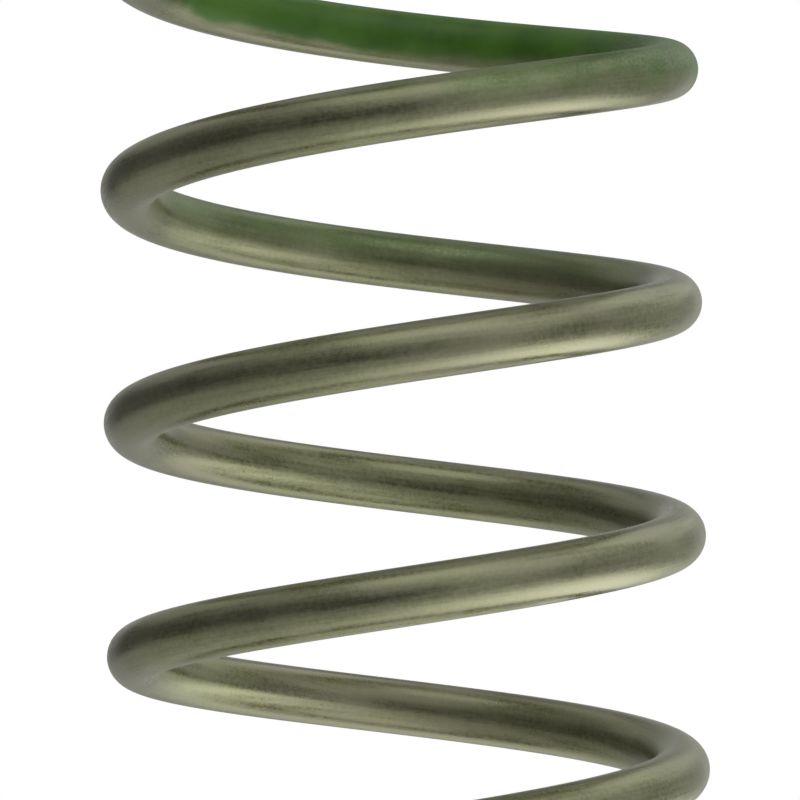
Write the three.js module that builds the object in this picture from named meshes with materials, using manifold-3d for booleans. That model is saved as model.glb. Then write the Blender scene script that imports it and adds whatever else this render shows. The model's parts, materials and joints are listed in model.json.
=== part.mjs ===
// Helical compression spring for a vehicle's suspension: one bar of round steel, wound right-handed,
// with a closed and ground coil at each end.
//
// A coil spring is a torsion bar wound into a helix. When it closes, every stretch of the bar twists
// about the wire's own axis, and hardly bends. So the bar is divided here into short rigid stretches by
// cuts square to the wire: each stretch turns against the next about the wire's tangent at the cut, which
// keeps the round sections in line however far the spring closes.
//
// The spring stands on its lower ground face at z = 0, with the coils' common axis on the Z axis.

import * as THREE from "three";
import { mergeVertices } from "three/addons/utils/BufferGeometryUtils.js";
import Module from "manifold-3d";

// Driving dimensions, in millimetres. Places along the bar are in turns from its bottom tip.
const WIRE_DIAMETER = 14;
const MEAN_RADIUS = 66;
const OPEN_PITCH = 56.7;
const TOTAL_TURNS = 9;
const END_TURNS = 1;
const RAMP_TURNS = 0.75;
const TIP_CLEARANCE = 0.6;
const TIP_ANGLE_DEG = 112.5;

// The stretches, and the clear gap that each cut leaves between two of them.
const STRETCHES_PER_TURN = 4;
const CUT_GAP = 0.3;

// The identification mark, a band of green paint on the upper coils.
const MARK_FROM_TURN = 6.5;
const MARK_TO_TURN = 7.5;

// Facets of the round bar.
const SECTION_SIDES = 16;
const STEPS_PER_TURN = 32;

const FULL_TURN = 2 * Math.PI;
const WIRE_RADIUS = WIRE_DIAMETER / 2;
const CLOSED_PITCH = WIRE_DIAMETER + TIP_CLEARANCE;
const TIP_DEPTH = WIRE_DIAMETER / 4; // how far grinding leaves the tip's middle outside the ground face
const CUT_GAP_TURNS = CUT_GAP / (FULL_TURN * MEAN_RADIUS);

const STEEL = { color: 0x6f6c5c, roughness: 0.42, metalness: 0.7 };
const GREEN_PAINT = { color: 0x2f5a1e, roughness: 0.5, metalness: 0 };

// Height of the bar's middle above the lower ground face, for the lower half of the spring. The pitch is
// closed over the end coil, eases open along the ramp, and stays open from there.
function heightFromTip(turn) {
  const alongRamp = Math.max(0, (turn - END_TURNS) / RAMP_TURNS);
  const opened = alongRamp < 1 ? alongRamp ** 3 - alongRamp ** 4 / 2 : alongRamp - 0.5;
  return CLOSED_PITCH * turn - TIP_DEPTH + (OPEN_PITCH - CLOSED_PITCH) * RAMP_TURNS * opened;
}

const FREE_LENGTH = 2 * heightFromTip(TOTAL_TURNS / 2);

// The upper half is the lower half turned end for end.
function wireHeight(turn) {
  if (turn > TOTAL_TURNS / 2) {
    return FREE_LENGTH - heightFromTip(TOTAL_TURNS - turn);
  }
  return heightFromTip(turn);
}

// The middle line of the bar between two places along it.
class WireLine extends THREE.Curve {
  constructor(fromTurn, toTurn) {
    super();
    this.fromTurn = fromTurn;
    this.toTurn = toTurn;
  }

  getPoint(share, target = new THREE.Vector3()) {
    const turn = THREE.MathUtils.lerp(this.fromTurn, this.toTurn, share);
    const angle = THREE.MathUtils.degToRad(TIP_ANGLE_DEG) + FULL_TURN * turn;
    return target.set(MEAN_RADIUS * Math.cos(angle), MEAN_RADIUS * Math.sin(angle), wireHeight(turn));
  }

  // The section's first side always points straight away from the spring's axis, so that the facets of
  // neighbouring stretches line up.
  computeFrenetFrames(segments) {
    const frames = { tangents: [], normals: [], binormals: [] };
    for (let i = 0; i <= segments; i++) {
      const tangent = this.getTangentAt(i / segments);
      const outward = this.getPointAt(i / segments).setZ(0).normalize();
      frames.tangents.push(tangent);
      frames.normals.push(outward);
      frames.binormals.push(new THREE.Vector3().crossVectors(tangent, outward));
    }
    return frames;
  }
}

// A closed stretch of round bar, with its two ends cut square to the wire.
function roundBar(fromTurn, toTurn) {
  const section = new THREE.Shape().absarc(0, 0, WIRE_RADIUS, 0, FULL_TURN, false);
  return new THREE.ExtrudeGeometry(section, {
    curveSegments: SECTION_SIDES / 2,
    steps: Math.round((toTurn - fromTurn) * STEPS_PER_TURN),
    extrudePath: new WireLine(fromTurn, toTurn),
  });
}

const wasm = await Module();
wasm.setup();

function toSolid(geometry) {
  geometry.deleteAttribute("normal");
  geometry.deleteAttribute("uv");
  const merged = mergeVertices(geometry);
  const mesh = new wasm.Mesh({
    numProp: 3,
    vertProperties: merged.attributes.position.array,
    triVerts: new Uint32Array(merged.index.array),
  });
  return new wasm.Manifold(mesh);
}

function toGeometry(solid) {
  const mesh = solid.getMesh();
  const geometry = new THREE.BufferGeometry();
  geometry.setAttribute("position", new THREE.BufferAttribute(mesh.vertProperties, 3));
  geometry.setIndex(new THREE.BufferAttribute(mesh.triVerts, 1));
  geometry.computeVertexNormals();
  return geometry;
}

// The slab of metal that grinding takes off below (side -1) or above (side 1) a ground face.
function grindingAllowance(faceHeight, side) {
  const width = 3 * (MEAN_RADIUS + WIRE_DIAMETER);
  const slab = new THREE.BoxGeometry(width, width, WIRE_DIAMETER);
  slab.translate(0, 0, faceHeight + side * WIRE_RADIUS);
  return slab;
}

// An end coil: one closed turn of the bar whose outer side is ground flat over about three quarters of
// the turn, which leaves the tip about a quarter of the bar thick.
function groundCoil(fromTurn, toTurn, faceHeight, side) {
  const bar = toSolid(roundBar(fromTurn, toTurn));
  const allowance = toSolid(grindingAllowance(faceHeight, side));
  return toGeometry(bar.subtract(allowance));
}

function addPiece(group, name, geometry, finish) {
  const piece = new THREE.Mesh(geometry, new THREE.MeshStandardMaterial(finish));
  piece.name = name;
  group.add(piece);
}

const spring = new THREE.Group();
spring.name = "coil_spring";

const topCoilTurn = TOTAL_TURNS - END_TURNS;
const halfGap = CUT_GAP_TURNS / 2;

addPiece(spring, "bottom_end_coil", groundCoil(0, END_TURNS - halfGap, 0, -1), STEEL);

const stretchCount = (topCoilTurn - END_TURNS) * STRETCHES_PER_TURN;
for (let i = 0; i < stretchCount; i++) {
  const fromTurn = END_TURNS + i / STRETCHES_PER_TURN;
  const toTurn = fromTurn + 1 / STRETCHES_PER_TURN;
  const coil = Math.floor(i / STRETCHES_PER_TURN) + 1;
  const quarter = (i % STRETCHES_PER_TURN) + 1;
  const marked = fromTurn >= MARK_FROM_TURN && toTurn <= MARK_TO_TURN;
  const bar = roundBar(fromTurn + halfGap, toTurn - halfGap);
  addPiece(spring, `active_coil_${coil}_quarter_${quarter}`, bar, marked ? GREEN_PAINT : STEEL);
}

const topCoil = groundCoil(topCoilTurn + halfGap, TOTAL_TURNS, FREE_LENGTH, 1);
addPiece(spring, "top_end_coil", topCoil, STEEL);

export default spring;
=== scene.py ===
"""Looks of the coil spring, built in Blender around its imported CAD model.

The spring is one bar of round steel wound into a helix. The CAD model divides the bar into stretches by
cuts square to the wire, and each stretch turns against the next about the wire's tangent at the cut. Each
stretch gets one smooth mesh here that rides on its own CAD body. Neighbours all but touch at the cuts, so
the bar looks unbroken however far the spring closes.

Places along the bar are in turns from its bottom tip. Places round the bar's section are angles from the
side that faces away from the spring's axis, with the upper side at a quarter turn. Lengths are in metres.
"""

import json
import math

import bmesh
import bpy
import numpy as np
from mathutils import Matrix, Vector


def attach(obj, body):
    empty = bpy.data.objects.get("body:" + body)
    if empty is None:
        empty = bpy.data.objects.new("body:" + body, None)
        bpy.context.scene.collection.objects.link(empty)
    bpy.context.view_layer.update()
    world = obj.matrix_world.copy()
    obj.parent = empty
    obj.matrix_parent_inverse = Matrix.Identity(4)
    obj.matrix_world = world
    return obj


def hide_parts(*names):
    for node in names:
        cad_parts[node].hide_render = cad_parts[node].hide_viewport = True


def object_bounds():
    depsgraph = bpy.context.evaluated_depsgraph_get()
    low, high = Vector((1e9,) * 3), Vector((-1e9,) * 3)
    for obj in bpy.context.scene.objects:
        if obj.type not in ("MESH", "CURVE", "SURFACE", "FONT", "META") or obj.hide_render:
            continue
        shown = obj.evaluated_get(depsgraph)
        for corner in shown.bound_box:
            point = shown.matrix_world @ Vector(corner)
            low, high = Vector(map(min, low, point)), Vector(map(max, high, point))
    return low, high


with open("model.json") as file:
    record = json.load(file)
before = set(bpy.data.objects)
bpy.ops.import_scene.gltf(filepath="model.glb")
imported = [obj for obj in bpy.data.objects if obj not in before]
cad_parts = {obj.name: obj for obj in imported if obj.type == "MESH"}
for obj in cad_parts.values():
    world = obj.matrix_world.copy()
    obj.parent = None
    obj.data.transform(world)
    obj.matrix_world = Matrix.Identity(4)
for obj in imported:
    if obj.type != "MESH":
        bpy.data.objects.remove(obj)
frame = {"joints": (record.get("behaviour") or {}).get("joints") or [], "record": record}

cad_low, cad_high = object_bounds()

MM = 0.001
FULL_TURN = 2 * math.pi

# The bar and how it is wound, as in the CAD model.
WIRE_RADIUS = 7 * MM
MEAN_RADIUS = (cad_high.x - cad_low.x) / 2 - WIRE_RADIUS
FREE_LENGTH = cad_high.z
TOTAL_TURNS = 9
END_TURNS = 1
RAMP_TURNS = 0.75
OPEN_PITCH = 56.7 * MM
CLOSED_PITCH = 14.6 * MM
TIP_DEPTH = WIRE_RADIUS / 2
TIP_ANGLE = math.radians(112.5)

# The bar's ends: the sheared tip is rounded over, and the edges of the ground face are broken.
TIP_ROUNDING = 0.5 * MM
EDGE_BREAK = 0.25 * MM

# What each stretch leaves free at a cut, in turns, so that neighbours can turn against each other.
CUT_CLEARANCE = 0.002 * MM / (FULL_TURN * MEAN_RADIUS)

# How finely the meshes follow the bar.
SIDES = 72
STEPS_PER_TURN = 144
FLAT_STRIPS = 6
TIP_ROUNDING_RINGS = 4

# Extra rings over the last part of the ground face, where it narrows fast. A flat with less than the least
# half width counts as none.
RUN_OUT_RINGS = 8
RUN_OUT_SHARE = 0.02
LEAST_HALF_WIDTH = 0.01 * MM

# Points closer together than this become one.
MERGE_DISTANCE = 1e-7

# The identification paint: a film sprayed on from above and inside, the mist round it, and the mist that
# went on to the turn below. Each is an oval on the bar's surface with a middle along the bar and round it.
FILM = {"turn": 7.02, "half_length": 0.27, "angle": math.radians(125), "half_width": math.radians(92)}
MIST = {"turn": 7.02, "half_length": 0.62, "angle": math.radians(77), "half_width": math.radians(155)}
MIST_BELOW = {**FILM, "turn": FILM["turn"] - 1, "half_length": 0.42}
MIST_SHARE = 0.95
MIST_BELOW_SHARE = 0.4


# --- The bar's middle line ---------------------------------------------------------------------------


def height_from_tip(turn):
    """Height of the bar's middle above the lower ground face, for the lower half of the spring."""
    along_ramp = np.maximum(0, (turn - END_TURNS) / RAMP_TURNS)
    opened = np.where(along_ramp < 1, along_ramp**3 - along_ramp**4 / 2, along_ramp - 0.5)
    return CLOSED_PITCH * turn - TIP_DEPTH + (OPEN_PITCH - CLOSED_PITCH) * RAMP_TURNS * opened


def wire_height(turn):
    """The upper half of the spring is the lower half turned end for end."""
    lower = height_from_tip(turn)
    upper = FREE_LENGTH - height_from_tip(TOTAL_TURNS - turn)
    return np.where(turn > TOTAL_TURNS / 2, upper, lower)


def rise_per_turn(turn):
    from_end = np.minimum(turn, TOTAL_TURNS - turn)
    along_ramp = np.clip((from_end - END_TURNS) / RAMP_TURNS, 0, 1)
    return CLOSED_PITCH + (OPEN_PITCH - CLOSED_PITCH) * along_ramp**2 * (3 - 2 * along_ramp)


def wire_frame(turn):
    """The bar's middle at each of these places, with the directions along it, outward and upward."""
    turn = np.asarray(turn, float)
    angle = TIP_ANGLE + FULL_TURN * turn
    outward = np.stack([np.cos(angle), np.sin(angle), np.zeros_like(angle)], -1)
    forward = np.stack([-np.sin(angle), np.cos(angle), np.zeros_like(angle)], -1)
    middle = MEAN_RADIUS * outward
    middle[..., 2] = wire_height(turn)
    along = FULL_TURN * MEAN_RADIUS * forward
    along[..., 2] = rise_per_turn(turn)
    along /= np.linalg.norm(along, axis=-1, keepdims=True)
    return middle, along, outward, np.cross(outward, along)


# --- Meshes ------------------------------------------------------------------------------------------

# The kinds of face, which are also the numbers of their materials.
WIRE_SIDE, GROUND_FACE, SHEARED_END, CUT_FACE = range(4)


def into_rounding(turn):
    """How far into the tip's rounding a place is, from 0 on the plain bar to 1 at the end face."""
    from_tip = turn * FULL_TURN * MEAN_RADIUS
    return np.clip(1 - from_tip / TIP_ROUNDING, 0, 1)


def bar_radius(turn):
    """The bar's radius, which falls away over the rounding at the bottom tip."""
    return WIRE_RADIUS - TIP_ROUNDING * (1 - np.sqrt(1 - into_rounding(turn) ** 2))


def round_points(turn, angles):
    """Points on the bar's round side, at these angles round its section."""
    middle, _, outward, upward = wire_frame(turn)
    radius = float(bar_radius(turn))
    return middle + radius * (np.cos(angles)[:, None] * outward + np.sin(angles)[:, None] * upward)


def round_section(turn):
    """One section of the bar as a closed loop of points, with their angles round the section."""
    angles = np.arange(SIDES) / SIDES * FULL_TURN
    return round_points(turn, angles), angles


def ground_section(turn):
    """The same for a section of an end coil, which the grinding wheel has cut off at z = 0.

    It is the part of the circle above z = 0, closed by a broken edge, the flat and another broken edge.
    Past the end of the flat those three shrink to nothing at the bottom of the circle.
    """
    middle, _, outward, upward = wire_frame(turn)
    radius = float(bar_radius(turn))
    reach = radius * upward[2]
    half_width = math.sqrt(max(0.0, 1 - (middle[2] / reach) ** 2)) * radius
    if half_width < LEAST_HALF_WIDTH:
        half_width = 0.0
    edge = min(EDGE_BREAK, half_width / 3)
    start = math.asin(max(-1.0, min(1.0, (edge - middle[2]) / reach)))
    angles = np.linspace(start, math.pi - start, SIDES + 1)
    arc = round_points(turn, angles)
    down = middle - upward * (middle[2] / upward[2])
    across = np.linspace(-1, 1, FLAT_STRIPS + 1) * max(0.0, half_width - edge)
    flat = down + across[:, None] * outward
    if half_width == 0:
        flat[:] = arc[-1]
    flat_angles = math.pi * 1.5 + across / WIRE_RADIUS
    return np.concatenate([arc, flat]), np.concatenate([angles, flat_angles])


def ground_turns():
    """How far the ground face runs along the bar: to where the bar's underside rises clear of z = 0."""
    upward = wire_frame(END_TURNS / 2)[3]
    return (WIRE_RADIUS * upward[2] + TIP_DEPTH) / CLOSED_PITCH


def ring_turns(from_turn, to_turn, ground):
    """Where the mesh has its rings, closer together at a rounded tip and where a ground face runs out."""
    count = round((to_turn - from_turn) * STEPS_PER_TURN)
    turns = list(np.linspace(from_turn, to_turn, count + 1))
    if ground:
        rounding = TIP_ROUNDING / (FULL_TURN * MEAN_RADIUS)
        steps = np.arange(1, TIP_ROUNDING_RINGS + 1) / TIP_ROUNDING_RINGS
        turns += list(rounding * (1 - np.cos(steps * math.pi / 2)))
        turns += list(ground_turns() * (1 - RUN_OUT_SHARE * np.linspace(0, 1, RUN_OUT_RINGS) ** 2))
    return sorted(set(np.round(turns, 9)))


def add_ring(bm, turn_layer, turn, points):
    """New vertices at these points, which remember their place along the bar."""
    ring = []
    for point in points:
        vertex = bm.verts.new(point)
        vertex[turn_layer] = turn
        ring.append(vertex)
    return ring


def add_cap(bm, ring, kind, facing):
    """Closes a ring with a fan about its middle, which faces along the bar (1) or back (-1)."""
    middle = sum((v.co for v in ring), Vector()) / len(ring)
    hub = bm.verts.new(middle)
    for one, other in zip(ring, ring[1:] + ring[:1]):
        corners = (hub, one, other) if facing > 0 else (hub, other, one)
        face = bm.faces.new(corners)
        face.material_index = kind


def bar_mesh(name, from_turn, to_turn, ground=False):
    """A closed stretch of the bar. Each face's material index says what kind of face it is."""
    bm = bmesh.new()
    turn_layer = bm.verts.layers.float.new("turn")
    uv_layer = bm.loops.layers.uv.new("bar")
    rings = []
    angles = []
    turns = ring_turns(from_turn, to_turn, ground)
    for turn in turns:
        points, around = ground_section(turn) if ground else round_section(turn)
        rings.append(add_ring(bm, turn_layer, turn, points))
        angles.append(around)
    count = len(rings[0])
    for i in range(len(rings) - 1):
        for j in range(count):
            k = (j + 1) % count
            face = bm.faces.new((rings[i][j], rings[i][k], rings[i + 1][k], rings[i + 1][j]))
            face.material_index = GROUND_FACE if ground and j >= SIDES else WIRE_SIDE
            corners = ((i, j), (i, k), (i + 1, k), (i + 1, j))
            for loop, (row, column) in zip(face.loops, corners):
                past_the_seam = 1 if column == 0 and k == 0 else 0
                loop[uv_layer].uv = (turns[row], angles[row][column] / FULL_TURN + past_the_seam)
    add_cap(bm, rings[0], SHEARED_END if ground else CUT_FACE, -1)
    add_cap(bm, rings[-1], CUT_FACE, 1)
    for face in bm.faces:
        face.smooth = True
    bmesh.ops.remove_doubles(bm, verts=bm.verts, dist=MERGE_DISTANCE)
    bmesh.ops.recalc_face_normals(bm, faces=bm.faces)
    mesh = bpy.data.meshes.new(name)
    bm.to_mesh(mesh)
    bm.free()
    return mesh


def set_true_normals(mesh):
    """Gives every corner the normal of the shape that the mesh stands for.

    A round side's normal points straight away from the bar's middle line, so neighbouring stretches
    shade as one bar across the cut between them. Over the rounding it tilts towards the tip.
    """
    turns = np.empty(len(mesh.vertices), np.float32)
    mesh.attributes["turn"].data.foreach_get("value", turns)
    places = np.empty(len(mesh.vertices) * 3, np.float32)
    mesh.vertices.foreach_get("co", places)
    middle, along, _, _ = wire_frame(turns.astype(float))
    away = places.reshape(-1, 3) - middle
    away /= np.linalg.norm(away, axis=1, keepdims=True)
    tilt = into_rounding(turns.astype(float))[:, None]
    away = away * np.sqrt(1 - tilt**2) - along * tilt
    normals = np.empty((len(mesh.loops), 3))
    for polygon in mesh.polygons:
        for i in polygon.loop_indices:
            if polygon.material_index == WIRE_SIDE:
                normals[i] = away[mesh.loops[i].vertex_index]
            else:
                normals[i] = polygon.normal
    mesh.normals_split_custom_set(normals)


def end_for_end(mesh):
    """Turns the bottom end coil over into the top one: half a turn about a level line at mid-height."""
    middle = Matrix.Translation((0, 0, FREE_LENGTH / 2))
    line = Vector((math.cos(TIP_ANGLE), math.sin(TIP_ANGLE), 0))
    mesh.transform(middle @ Matrix.Rotation(math.pi, 4, line) @ middle.inverted())
    for corner in mesh.uv_layers["bar"].data:
        corner.uv = (TOTAL_TURNS - corner.uv[0], 1 - corner.uv[1])


# --- Materials ---------------------------------------------------------------------------------------


class Nodes:
    """The node tree of a material or a world, called n below, with short calls for the nodes it needs."""

    def __init__(self, owner):
        owner.use_nodes = True
        self.owner = owner
        self.tree = owner.node_tree
        self.tree.nodes.clear()

    def add(self, kind, inputs=(), **settings):
        node = self.tree.nodes.new(kind)
        for key, value in settings.items():
            setattr(node, key, value)
        for key, value in dict(inputs).items():
            self.feed(node.inputs[key], value)
        return node

    def feed(self, socket, value):
        if isinstance(value, bpy.types.NodeSocket):
            self.tree.links.new(value, socket)
        else:
            socket.default_value = value

    def math(self, operation, one, other=0.0, clamp=False):
        """One step of arithmetic on plain numbers."""
        node = self.add("ShaderNodeMath", {0: one, 1: other}, operation=operation, use_clamp=clamp)
        return node.outputs[0]

    def remap(self, value, low, high, to_low=0.0, to_high=1.0, smooth=True):
        """Stretches the range from low to high over the new range, and holds values outside it."""
        inputs = {"Value": value, "From Min": low, "From Max": high, "To Min": to_low, "To Max": to_high}
        kind = "SMOOTHSTEP" if smooth else "LINEAR"
        return self.add("ShaderNodeMapRange", inputs, interpolation_type=kind).outputs["Result"]

    def mix(self, share, one, other):
        """Mixes two colours."""
        node = self.add("ShaderNodeMix", {0: share, 6: one, 7: other}, data_type="RGBA")
        return node.outputs[2]

    def blend(self, share, one, other):
        """Mixes two plain numbers."""
        return self.add("ShaderNodeMix", {0: share, 2: one, 3: other}).outputs[0]

    def scaled(self, vector, scale):
        node = self.add("ShaderNodeVectorMath", {0: vector, 1: scale}, operation="MULTIPLY")
        return node.outputs[0]

    def noise(self, vector, scale, detail=3.0, roughness=0.5):
        inputs = {"Vector": vector, "Scale": scale, "Detail": detail, "Roughness": roughness}
        return self.add("ShaderNodeTexNoise", inputs).outputs["Fac"]

    def cells(self, vector, scale, smoothness=0.6):
        inputs = {"Vector": vector, "Scale": scale, "Smoothness": smoothness}
        return self.add("ShaderNodeTexVoronoi", inputs, feature="SMOOTH_F1").outputs["Distance"]

    def bump(self, height, strength, distance):
        inputs = {"Height": height, "Strength": strength, "Distance": distance}
        return self.add("ShaderNodeBump", inputs).outputs["Normal"]

    def place(self):
        """Where a point lies on the object at rest. It moves with the piece."""
        return self.add("ShaderNodeTexCoord").outputs["Object"]

    def along_and_around(self):
        """Turns along the bar, and turns round its section."""
        uv = self.add("ShaderNodeUVMap", uv_map="bar").outputs["UV"]
        parts = self.add("ShaderNodeSeparateXYZ", {0: uv})
        return parts.outputs["X"], parts.outputs["Y"]

    def surface(self, **inputs):
        """Ends the tree in a surface with these inputs, and gives the material back."""
        named = {key.replace("_", " "): value for key, value in inputs.items()}
        shader = self.add("ShaderNodeBsdfPrincipled", named)
        output = self.add("ShaderNodeOutputMaterial")
        self.tree.links.new(shader.outputs["BSDF"], output.inputs["Surface"])
        return self.owner


# Colours of the steel, the paint, the ground face with its stains, and the sheared end.
DARK_OLIVE = (0.250, 0.259, 0.140, 1)
LIGHT_OLIVE = (0.475, 0.491, 0.305, 1)
WARM_GREY = (0.370, 0.350, 0.262, 1)
DEEP_GREEN = (0.065, 0.190, 0.012, 1)
BRIGHT_GREEN = (0.120, 0.300, 0.030, 1)
GROUND_GREY = (0.46, 0.455, 0.43, 1)
GROUND_BRIGHT = (0.74, 0.73, 0.70, 1)
STAIN_BROWN = (0.28, 0.25, 0.18, 1)
TORN_DARK = (0.20, 0.195, 0.17, 1)
TORN_LIGHT = (0.34, 0.33, 0.29, 1)

# Scales of the patterns on the bar, as repeats in a metre.
STAIN_SCALE = 28.0
BLOTCH_SCALE = 55.0
CLOUD_SCALE = 70.0
GRAIN_SCALE = 900.0
PEENING_SCALE = 1300.0
SPECKLE_SCALE = 1800.0

# The same for the ends: the stains and the wheel's bowed scratches on the ground faces, and the spots and
# upright tears of the sheared ends.
GROUND_STAIN_SCALE = 90.0
SCRATCH_SCALE_ALONG = 20.0
SCRATCH_SCALE_ACROSS = 3000.0
SCRATCH_BOW = 2.5
SPOT_SCALE = 500.0
TEAR_SCALES = (2200.0, 2200.0, 500.0)

# Depths of the fine relief: peening, grinding scratches and the torn end.
PEENING_DEPTH = 0.12 * MM
SCRATCH_DEPTH = 0.03 * MM
TEAR_DEPTH = 0.15 * MM

# The streaks' pattern is laid on a drum with a radius of 1. A turn of the bar is this long on it, far less
# than it really is, which draws the streaks out.
STREAK_STRETCH = 2.2
STREAK_SCALE = 9.0


def drawn_streaks(n, along, around):
    """Faint lines along the bar, left by drawing it through a die."""
    angle = n.math("MULTIPLY", around, FULL_TURN)
    inputs = {
        "X": n.math("COSINE", angle),
        "Y": n.math("SINE", angle),
        "Z": n.math("MULTIPLY", along, STREAK_STRETCH),
    }
    rolled = n.add("ShaderNodeCombineXYZ", inputs).outputs[0]
    return n.noise(rolled, STREAK_SCALE, detail=2.5, roughness=0.6)


def oval_distance(n, along, around, turn, half_length, angle, half_width):
    """Distance from the middle of an oval on the bar's surface: 1 at its edge."""
    lengthwise = n.math("DIVIDE", n.math("SUBTRACT", along, turn), half_length)
    off_angle = n.math("ABSOLUTE", n.math("SUBTRACT", around, angle / FULL_TURN))
    crosswise = n.math("DIVIDE", n.math("PINGPONG", off_angle, 0.5), half_width / FULL_TURN)
    squares = [n.math("MULTIPLY", v, v) for v in (lengthwise, crosswise)]
    return n.math("SQRT", n.math("ADD", *squares))


def paint_cover(n, place, along, around):
    """How much of the surface the sprayed green paint covers, from 0 to 1."""
    cloud = n.remap(n.noise(place, CLOUD_SCALE, 2.0), 0.3, 0.7, -0.10, 0.10, smooth=False)
    speckle = n.remap(n.noise(place, SPECKLE_SCALE, 2.0), 0.3, 0.7, 0.4, 1.6, smooth=False)

    def spray(oval, edge, core, share):
        """Rises from nothing at the edge to its share at the core, both as distances from the middle."""
        distance = n.math("ADD", oval_distance(n, along, around, **oval), cloud)
        return n.math("MULTIPLY", n.remap(distance, edge, core), share)

    film = spray(FILM, 1.2, 0.9, 1.0)
    mist = spray(MIST, 1.1, 0.55, MIST_SHARE)
    below = spray(MIST_BELOW, 1.0, 0.3, MIST_BELOW_SHARE)
    speckled = n.math("MULTIPLY", n.math("MAXIMUM", mist, below), speckle)
    return n.math("MAXIMUM", film, speckled, clamp=True)


def bar_finish(name):
    """Satin spring steel, shot-peened, under a thin olive film that the patch of green paint covers."""
    n = Nodes(bpy.data.materials.new(name))
    place = n.place()
    along, around = n.along_and_around()
    blotches = n.remap(n.noise(place, BLOTCH_SCALE, 4.0, 0.55), 0.32, 0.68)
    streaks = n.remap(drawn_streaks(n, along, around), 0.3, 0.7)
    grain = n.remap(n.noise(place, GRAIN_SCALE, 3.0, 0.6), 0.3, 0.7)
    stains = n.remap(n.noise(place, STAIN_SCALE, 3.0, 0.5), 0.4, 0.65)
    peening = n.cells(place, PEENING_SCALE)

    tone = n.blend(0.35, n.blend(0.45, blotches, streaks), grain)
    film = n.mix(tone, DARK_OLIVE, LIGHT_OLIVE)
    steel = n.mix(n.math("MULTIPLY", stains, 0.45), film, WARM_GREY)
    roughness = n.remap(tone, 0.2, 0.8, 0.27, 0.40)
    height = n.math("ADD", peening, n.math("MULTIPLY", streaks, 0.35))

    cover = paint_cover(n, place, along, around)
    green = n.mix(blotches, DEEP_GREEN, BRIGHT_GREEN)
    return n.surface(
        Base_Color=n.mix(cover, steel, green),
        Metallic=n.math("SUBTRACT", 1.0, cover),
        Roughness=n.blend(cover, roughness, 0.5),
        Normal=n.bump(height, 0.15, PEENING_DEPTH),
        Coat_Weight=0.2,
        Coat_Roughness=0.3,
    )


def ground_finish():
    """Bright ground steel, with the long curved scratches of the grinding wheel."""
    n = Nodes(bpy.data.materials.new("ground_face"))
    place = n.place()
    parts = n.add("ShaderNodeSeparateXYZ", {0: place})
    x = parts.outputs["X"]
    bow = n.math("MULTIPLY", n.math("MULTIPLY", x, x), SCRATCH_BOW)
    inputs = {
        "X": n.math("MULTIPLY", x, SCRATCH_SCALE_ALONG),
        "Y": n.math("MULTIPLY", n.math("ADD", parts.outputs["Y"], bow), SCRATCH_SCALE_ACROSS),
    }
    swept = n.add("ShaderNodeCombineXYZ", inputs).outputs[0]
    scratches = n.remap(n.noise(swept, 1.0, 3.0, 0.6), 0.3, 0.7)
    stains = n.remap(n.noise(place, GROUND_STAIN_SCALE, 4.0, 0.6), 0.45, 0.75)
    bright = n.mix(scratches, GROUND_GREY, GROUND_BRIGHT)
    colour = n.mix(n.math("MULTIPLY", stains, 0.35), bright, STAIN_BROWN)
    return n.surface(
        Base_Color=colour,
        Metallic=1.0,
        Roughness=n.remap(scratches, 0.0, 1.0, 0.26, 0.42),
        Normal=n.bump(scratches, 0.3, SCRATCH_DEPTH),
    )


def sheared_finish():
    """The torn grey face that the shear leaves at the end of the bar."""
    n = Nodes(bpy.data.materials.new("sheared_end"))
    place = n.place()
    torn = n.noise(n.scaled(place, TEAR_SCALES), 1.0, 4.0, 0.7)
    spots = n.remap(n.noise(place, SPOT_SCALE, 3.0), 0.35, 0.65)
    return n.surface(
        Base_Color=n.mix(spots, TORN_DARK, TORN_LIGHT),
        Metallic=1.0,
        Roughness=n.remap(torn, 0.3, 0.7, 0.42, 0.66),
        Normal=n.bump(torn, 0.6, TEAR_DEPTH),
    )


# --- The spring --------------------------------------------------------------------------------------

finishes = {name: bar_finish(name) for name in ("spring_steel", "identification_paint")}
ground_steel = ground_finish()
sheared_steel = sheared_finish()
slots = {part["node"]: part["material_slot"] for part in frame["record"]["subparts"]}


def add_piece(node, from_turn, to_turn, ground=False, turned_over=False):
    """A stretch of the bar that stands for a CAD node and rides on the node's body."""
    slot = slots[node]
    finish = finishes[slot]
    mesh = bar_mesh("bar_" + node, from_turn, to_turn, ground)
    set_true_normals(mesh)
    if turned_over:
        end_for_end(mesh)
    # One for each kind of face, in the order of their numbers.
    for material in (finish, ground_steel, sheared_steel, finish):
        mesh.materials.append(material)
    piece = bpy.data.objects.new("bar_" + node, mesh)
    bpy.context.scene.collection.objects.link(piece)
    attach(piece, node)
    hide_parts(node)


# The joints are in order up the bar. Each carries the stretch above its cut, and the last one the top coil.
active = [joint["child"] for joint in frame["joints"]][:-1]
quarter = (TOTAL_TURNS - 2 * END_TURNS) / len(active)

add_piece("bottom_end_coil", 0, END_TURNS - CUT_CLEARANCE, ground=True)
for i, node in enumerate(active):
    start = END_TURNS + i * quarter
    add_piece(node, start + CUT_CLEARANCE, start + quarter - CUT_CLEARANCE)
add_piece("top_end_coil", 0, END_TURNS - CUT_CLEARANCE, ground=True, turned_over=True)


# --- Studio ------------------------------------------------------------------------------------------

# A round pale floor. Between the two fade radii it melts into the white surroundings.
FLOOR_RADIUS = 1.5
FLOOR_SIDES = 96
FLOOR_FADE_FROM = 0.5
FLOOR_FADE_TO = 0.98 * FLOOR_RADIUS
FLOOR_GRAIN_SCALE = 120.0
FLOOR_DARKER = (0.80, 0.80, 0.79, 1)
FLOOR_LIGHTER = (0.84, 0.84, 0.83, 1)

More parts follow.
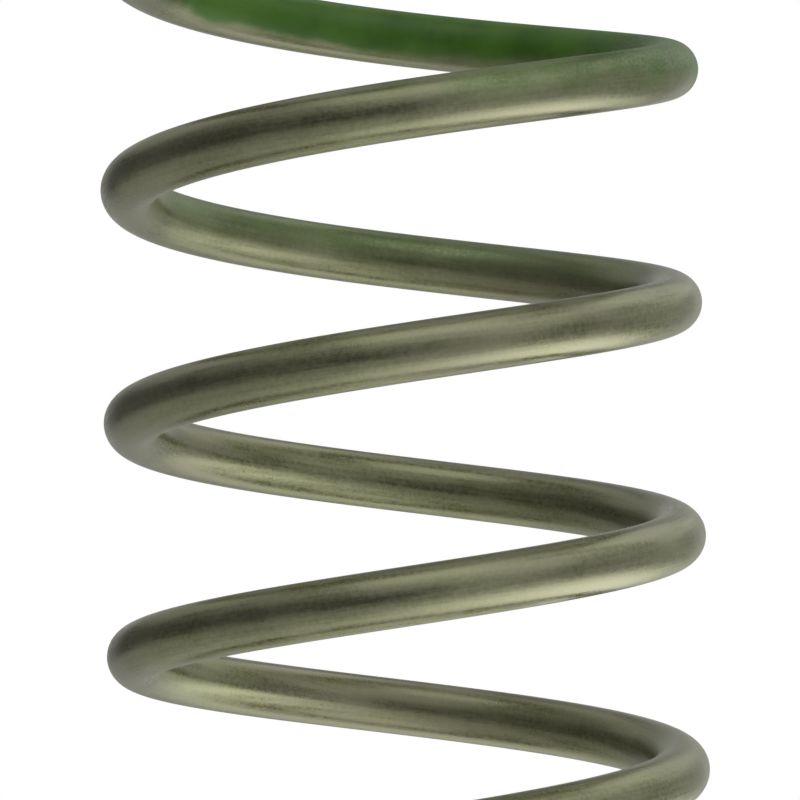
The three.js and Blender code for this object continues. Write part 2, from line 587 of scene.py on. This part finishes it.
# The floor is a light table. Its glow lights the undersides of the coils, most from the right, and the
# camera sees an even glow instead. Both are dimmed under the spring's foot. In the glow that the camera
# sees, this dimming is a painted contact shadow.
FLOOR_GLOW = 1.4
FLOOR_GLOW_SEEN = 0.4
FLOOR_GLOW_PLACE = (0.22, 0.04, 0)
FLOOR_GLOW_RADIUS = 0.48
FOOT_RADIUS = MEAN_RADIUS + WIRE_RADIUS
FOOT_GLOW_SHARE_IN_PAINTED_SHADOW = 0.75

# The surroundings as light: a dim fill, a backdrop low down behind the spring, and a soft ceiling.
FILL_STRENGTH = 0.09
BACKDROP_FROM = 0.8
BACKDROP_STRENGTH = 0.54
CEILING_FROM = 0.3
CEILING_STRENGTH = 0.28

# The soft panels: name, azimuth (0 is in front, 90 to the right), elevation and watts.
PANEL_SIZE = 1.1
PANEL_DISTANCE = 1.6
PANELS = (
    ("front_right", 35, 5, 1.1),
    ("right_front", 70, 5, 0.5),
    ("right_back", 105, 5, 1.0),
    ("back_right", 140, 5, 1.0),
    ("high_front", 0, 40, 0.9),
    ("high_front_right", 50, 40, 1.5),
    ("high_right", 100, 40, 0.9),
    ("high_back_right", 140, 40, 1.8),
    ("high_back_left", 220, 40, 0.7),
    ("overhead", 0, 75, 1.8),
)


def add_floor():
    """The pale floor that the spring stands on."""
    bm = bmesh.new()
    bmesh.ops.create_circle(bm, cap_ends=True, radius=FLOOR_RADIUS, segments=FLOOR_SIDES)
    mesh = bpy.data.meshes.new("floor")
    bm.to_mesh(mesh)
    bm.free()
    n = Nodes(bpy.data.materials.new("pale_floor"))
    place = n.place()
    distance = n.add("ShaderNodeVectorMath", {0: place}, operation="LENGTH").outputs["Value"]
    from_glow = n.add("ShaderNodeVectorMath", {0: place, 1: FLOOR_GLOW_PLACE}, operation="DISTANCE")
    grain = n.noise(place, FLOOR_GRAIN_SCALE, 3.0)
    seen = n.add("ShaderNodeLightPath").outputs["Is Camera Ray"]
    round_glow = n.remap(from_glow.outputs["Value"], FLOOR_GLOW_RADIUS, 0.0, 0.0, FLOOR_GLOW)
    # Painted contact shadow: under the foot the glow is dimmed, and the camera sees a darker halo there.
    foot_dimming_and_painted_shadow = n.remap(distance, FOOT_RADIUS, 2 * FOOT_RADIUS, FOOT_GLOW_SHARE_IN_PAINTED_SHADOW, 1.0)
    n.surface(
        Base_Color=n.mix(grain, FLOOR_DARKER, FLOOR_LIGHTER),
        Roughness=0.6,
        Emission_Color=(1, 1, 1, 1),
        Emission_Strength=n.math("MULTIPLY", foot_dimming_and_painted_shadow, n.blend(seen, round_glow, FLOOR_GLOW_SEEN)),
        Alpha=n.remap(distance, FLOOR_FADE_TO, FLOOR_FADE_FROM),
    )
    mesh.materials.append(n.owner)
    floor = bpy.data.objects.new("floor", mesh)
    bpy.context.scene.collection.objects.link(floor)


def add_surroundings():
    """White for the camera, and a softer world of light for the spring."""
    n = Nodes(bpy.data.worlds.new("surroundings"))
    bpy.context.scene.world = n.owner
    towards = n.add("ShaderNodeTexCoord").outputs["Generated"]
    parts = n.add("ShaderNodeSeparateXYZ", {0: towards})
    backdrop = n.remap(parts.outputs["Y"], BACKDROP_FROM, 1.0, FILL_STRENGTH, BACKDROP_STRENGTH)
    ceiling = n.remap(parts.outputs["Z"], CEILING_FROM, 1.0, 0.0, CEILING_STRENGTH)
    strength = n.math("ADD", backdrop, ceiling)
    light = n.add("ShaderNodeBackground", {"Color": (1, 1, 1, 1), "Strength": strength})
    white = n.add("ShaderNodeBackground", {"Color": (1, 1, 1, 1), "Strength": 1.0})
    seen = n.add("ShaderNodeLightPath").outputs["Is Camera Ray"]
    shown = n.add("ShaderNodeMixShader", {0: seen, 1: light.outputs[0], 2: white.outputs[0]})
    n.add("ShaderNodeOutputWorld", {"Surface": shown.outputs[0]})


def add_panel(name, azimuth, elevation, watts):
    """A square soft light that faces the middle of the spring."""
    lamp = bpy.data.lights.new(name, "AREA")
    lamp.shape = "SQUARE"
    lamp.size = PANEL_SIZE
    lamp.energy = watts
    panel = bpy.data.objects.new(name, lamp)
    a = math.radians(azimuth)
    e = math.radians(elevation)
    back = Vector((math.sin(a) * math.cos(e), -math.cos(a) * math.cos(e), math.sin(e)))
    panel.location = Vector((0, 0, FREE_LENGTH / 2)) + back * PANEL_DISTANCE
    panel.rotation_euler = back.to_track_quat("Z", "Y").to_euler()
    panel.visible_camera = False
    bpy.context.scene.collection.objects.link(panel)


# The camera stands far off, nearly level with the middle of the spring, and looks a little upwards
# through a long lens. About half of the spring's height fits in the picture.
CAMERA_DISTANCE = 1.5361
CAMERA_BELOW_MIDDLE = 2.6 * MM
CAMERA_PITCH = math.radians(1.746)
CAMERA_YAW = math.radians(-0.032)
CAMERA_ROLL = math.radians(0.876)
LENS_MM = 284.1
SENSOR_MM = 36


def add_camera():
    """The scene's camera: rolled about its line of sight, tilted up from level and turned sideways."""
    data = bpy.data.cameras.new("camera")
    data.sensor_width = SENSOR_MM
    data.lens = LENS_MM
    data.clip_start = 0.01
    camera = bpy.data.objects.new("camera", data)
    turned = Matrix.Rotation(-CAMERA_YAW, 4, "Z")
    tilted = Matrix.Rotation(math.pi / 2 + CAMERA_PITCH, 4, "X")
    rolled = Matrix.Rotation(-CAMERA_ROLL, 4, "Z")
    place = Matrix.Translation((0, -CAMERA_DISTANCE, FREE_LENGTH / 2 - CAMERA_BELOW_MIDDLE))
    camera.matrix_world = place @ turned @ tilted @ rolled
    bpy.context.scene.collection.objects.link(camera)
    bpy.context.scene.camera = camera


add_floor()
add_surroundings()
for panel in PANELS:
    add_panel(*panel)
add_camera()

view = bpy.context.scene.view_settings
view.view_transform = "Standard"
view.look = "None"
